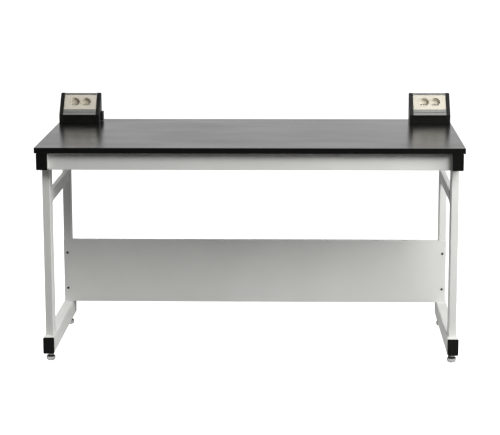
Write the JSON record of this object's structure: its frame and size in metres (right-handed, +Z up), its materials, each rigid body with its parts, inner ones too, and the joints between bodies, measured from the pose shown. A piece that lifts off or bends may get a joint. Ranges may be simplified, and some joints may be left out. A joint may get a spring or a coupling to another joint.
{
  "type": "laboratory bench",
  "caption": "Laboratory work bench: flat board worktop on welded tube end frames with aprons, a modesty panel, levelling feet and wedge-shaped power outlet boxes at the rear corners.",
  "frame": {"origin": "on the floor under the middle of the worktop", "axes": "+X to the right along the worktop, -Y out of the front, +Z up"},
  "size_m": [1.5, 0.75, 0.9013],
  "materials": {
    "worktop_board": "gloss black board",
    "frame_paint": "light grey powder coat",
    "cap_plastic": "black moulded",
    "zinc_plate": "zinc plated",
    "black_screw": "blackened",
    "foot_chrome": "bright chrome",
    "foot_rubber": "black",
    "outlet_black": "satin black",
    "nose_aluminium": "satin",
    "socket_cream": "cream",
    "contact_brass": "plain",
    "entry_black": "black moulded"
  },
  "bodies": {
    "frame": {"base_cap_front_left": "cap_plastic", "base_cap_front_right": "cap_plastic", "base_cap_rear_left": "cap_plastic", "base_cap_rear_right": "cap_plastic", "base_rail_left": "frame_paint", "base_rail_right": "frame_paint", "clip_screws": "zinc_plate", "foot_lock_nuts": "zinc_plate", "foot_weld_nuts": "zinc_plate", "frame_bolts": "zinc_plate", "frame_nuts": "zinc_plate", "front_apron": "frame_paint", "front_leg_left": "frame_paint", "front_leg_right": "frame_paint", "mid_rail_left": "frame_paint", "mid_rail_right": "frame_paint", "modesty_panel": "frame_paint", "outlet_cheek_left_left": "outlet_black", "outlet_cheek_left_right": "outlet_black", "outlet_cheek_right_left": "outlet_black", "outlet_cheek_right_right": "outlet_black", "outlet_entry_left": "entry_black", "outlet_entry_right": "entry_black", "outlet_fascia_left": "socket_cream", "outlet_fascia_right": "socket_cream", "outlet_housing_left": "outlet_black", "outlet_housing_right": "outlet_black", "outlet_nose_left": "nose_aluminium", "outlet_nose_right": "nose_aluminium", "panel_screws": "black_screw", "rear_apron": "frame_paint", "rear_leg_left": "frame_paint", "rear_leg_right": "frame_paint", "socket_contacts_left": "contact_brass", "socket_contacts_right": "contact_brass", "socket_screws": "zinc_plate", "socket_well_a_left": "socket_cream", "socket_well_a_right": "socket_cream", "socket_well_b_left": "socket_cream", "socket_well_b_right": "socket_cream", "top_cap_front_left": "cap_plastic", "top_cap_front_right": "cap_plastic", "top_cap_rear_left": "cap_plastic", "top_cap_rear_right": "cap_plastic", "top_rail_left": "frame_paint", "top_rail_right": "frame_paint", "worktop": "worktop_board", "worktop_clips": "zinc_plate"},
    "foot_front_left": {"foot_pad_front_left": "foot_chrome", "foot_disc_front_left": "foot_rubber"},
    "stud_front_left": {"foot_stud_front_left": "zinc_plate"},
    "foot_front_right": {"foot_pad_front_right": "foot_chrome", "foot_disc_front_right": "foot_rubber"},
    "stud_front_right": {"foot_stud_front_right": "zinc_plate"},
    "foot_rear_left": {"foot_pad_rear_left": "foot_chrome", "foot_disc_rear_left": "foot_rubber"},
    "stud_rear_left": {"foot_stud_rear_left": "zinc_plate"},
    "foot_rear_right": {"foot_pad_rear_right": "foot_chrome", "foot_disc_rear_right": "foot_rubber"},
    "stud_rear_right": {"foot_stud_rear_right": "zinc_plate"}
  },
  "joints": [
    {"name": "foot_rise_front_left", "type": "slide", "parent": "frame", "child": "foot_front_left", "axis": [0, 0, -1], "range_m": [0, 0.015]},
    {"name": "foot_turn_front_left", "type": "hinge", "parent": "foot_front_left", "child": "stud_front_left", "pos_m": [-0.724, -0.261, 0.02], "axis": [0, 0, -1], "range_deg": [0, 3600]},
    {"name": "foot_rise_front_right", "type": "slide", "parent": "frame", "child": "foot_front_right", "axis": [0, 0, -1], "range_m": [0, 0.015]},
    {"name": "foot_turn_front_right", "type": "hinge", "parent": "foot_front_right", "child": "stud_front_right", "pos_m": [0.724, -0.261, 0.02], "axis": [0, 0, -1], "range_deg": [0, 3600]},
    {"name": "foot_rise_rear_left", "type": "slide", "parent": "frame", "child": "foot_rear_left", "axis": [0, 0, -1], "range_m": [0, 0.015]},
    {"name": "foot_turn_rear_left", "type": "hinge", "parent": "foot_rear_left", "child": "stud_rear_left", "pos_m": [-0.724, 0.266, 0.02], "axis": [0, 0, -1], "range_deg": [0, 3600]},
    {"name": "foot_rise_rear_right", "type": "slide", "parent": "frame", "child": "foot_rear_right", "axis": [0, 0, -1], "range_m": [0, 0.015]},
    {"name": "foot_turn_rear_right", "type": "hinge", "parent": "foot_rear_right", "child": "stud_rear_right", "pos_m": [0.724, 0.266, 0.02], "axis": [0, 0, -1], "range_deg": [0, 3600]}
  ],
  "couplings": [
    {"joint": "foot_turn_front_left", "follows": "foot_rise_front_left", "rad_per_m": 4188.8},
    {"joint": "foot_turn_front_right", "follows": "foot_rise_front_right", "rad_per_m": 4188.8},
    {"joint": "foot_turn_rear_left", "follows": "foot_rise_rear_left", "rad_per_m": 4188.8},
    {"joint": "foot_turn_rear_right", "follows": "foot_rise_rear_right", "rad_per_m": 4188.8}
  ]
}
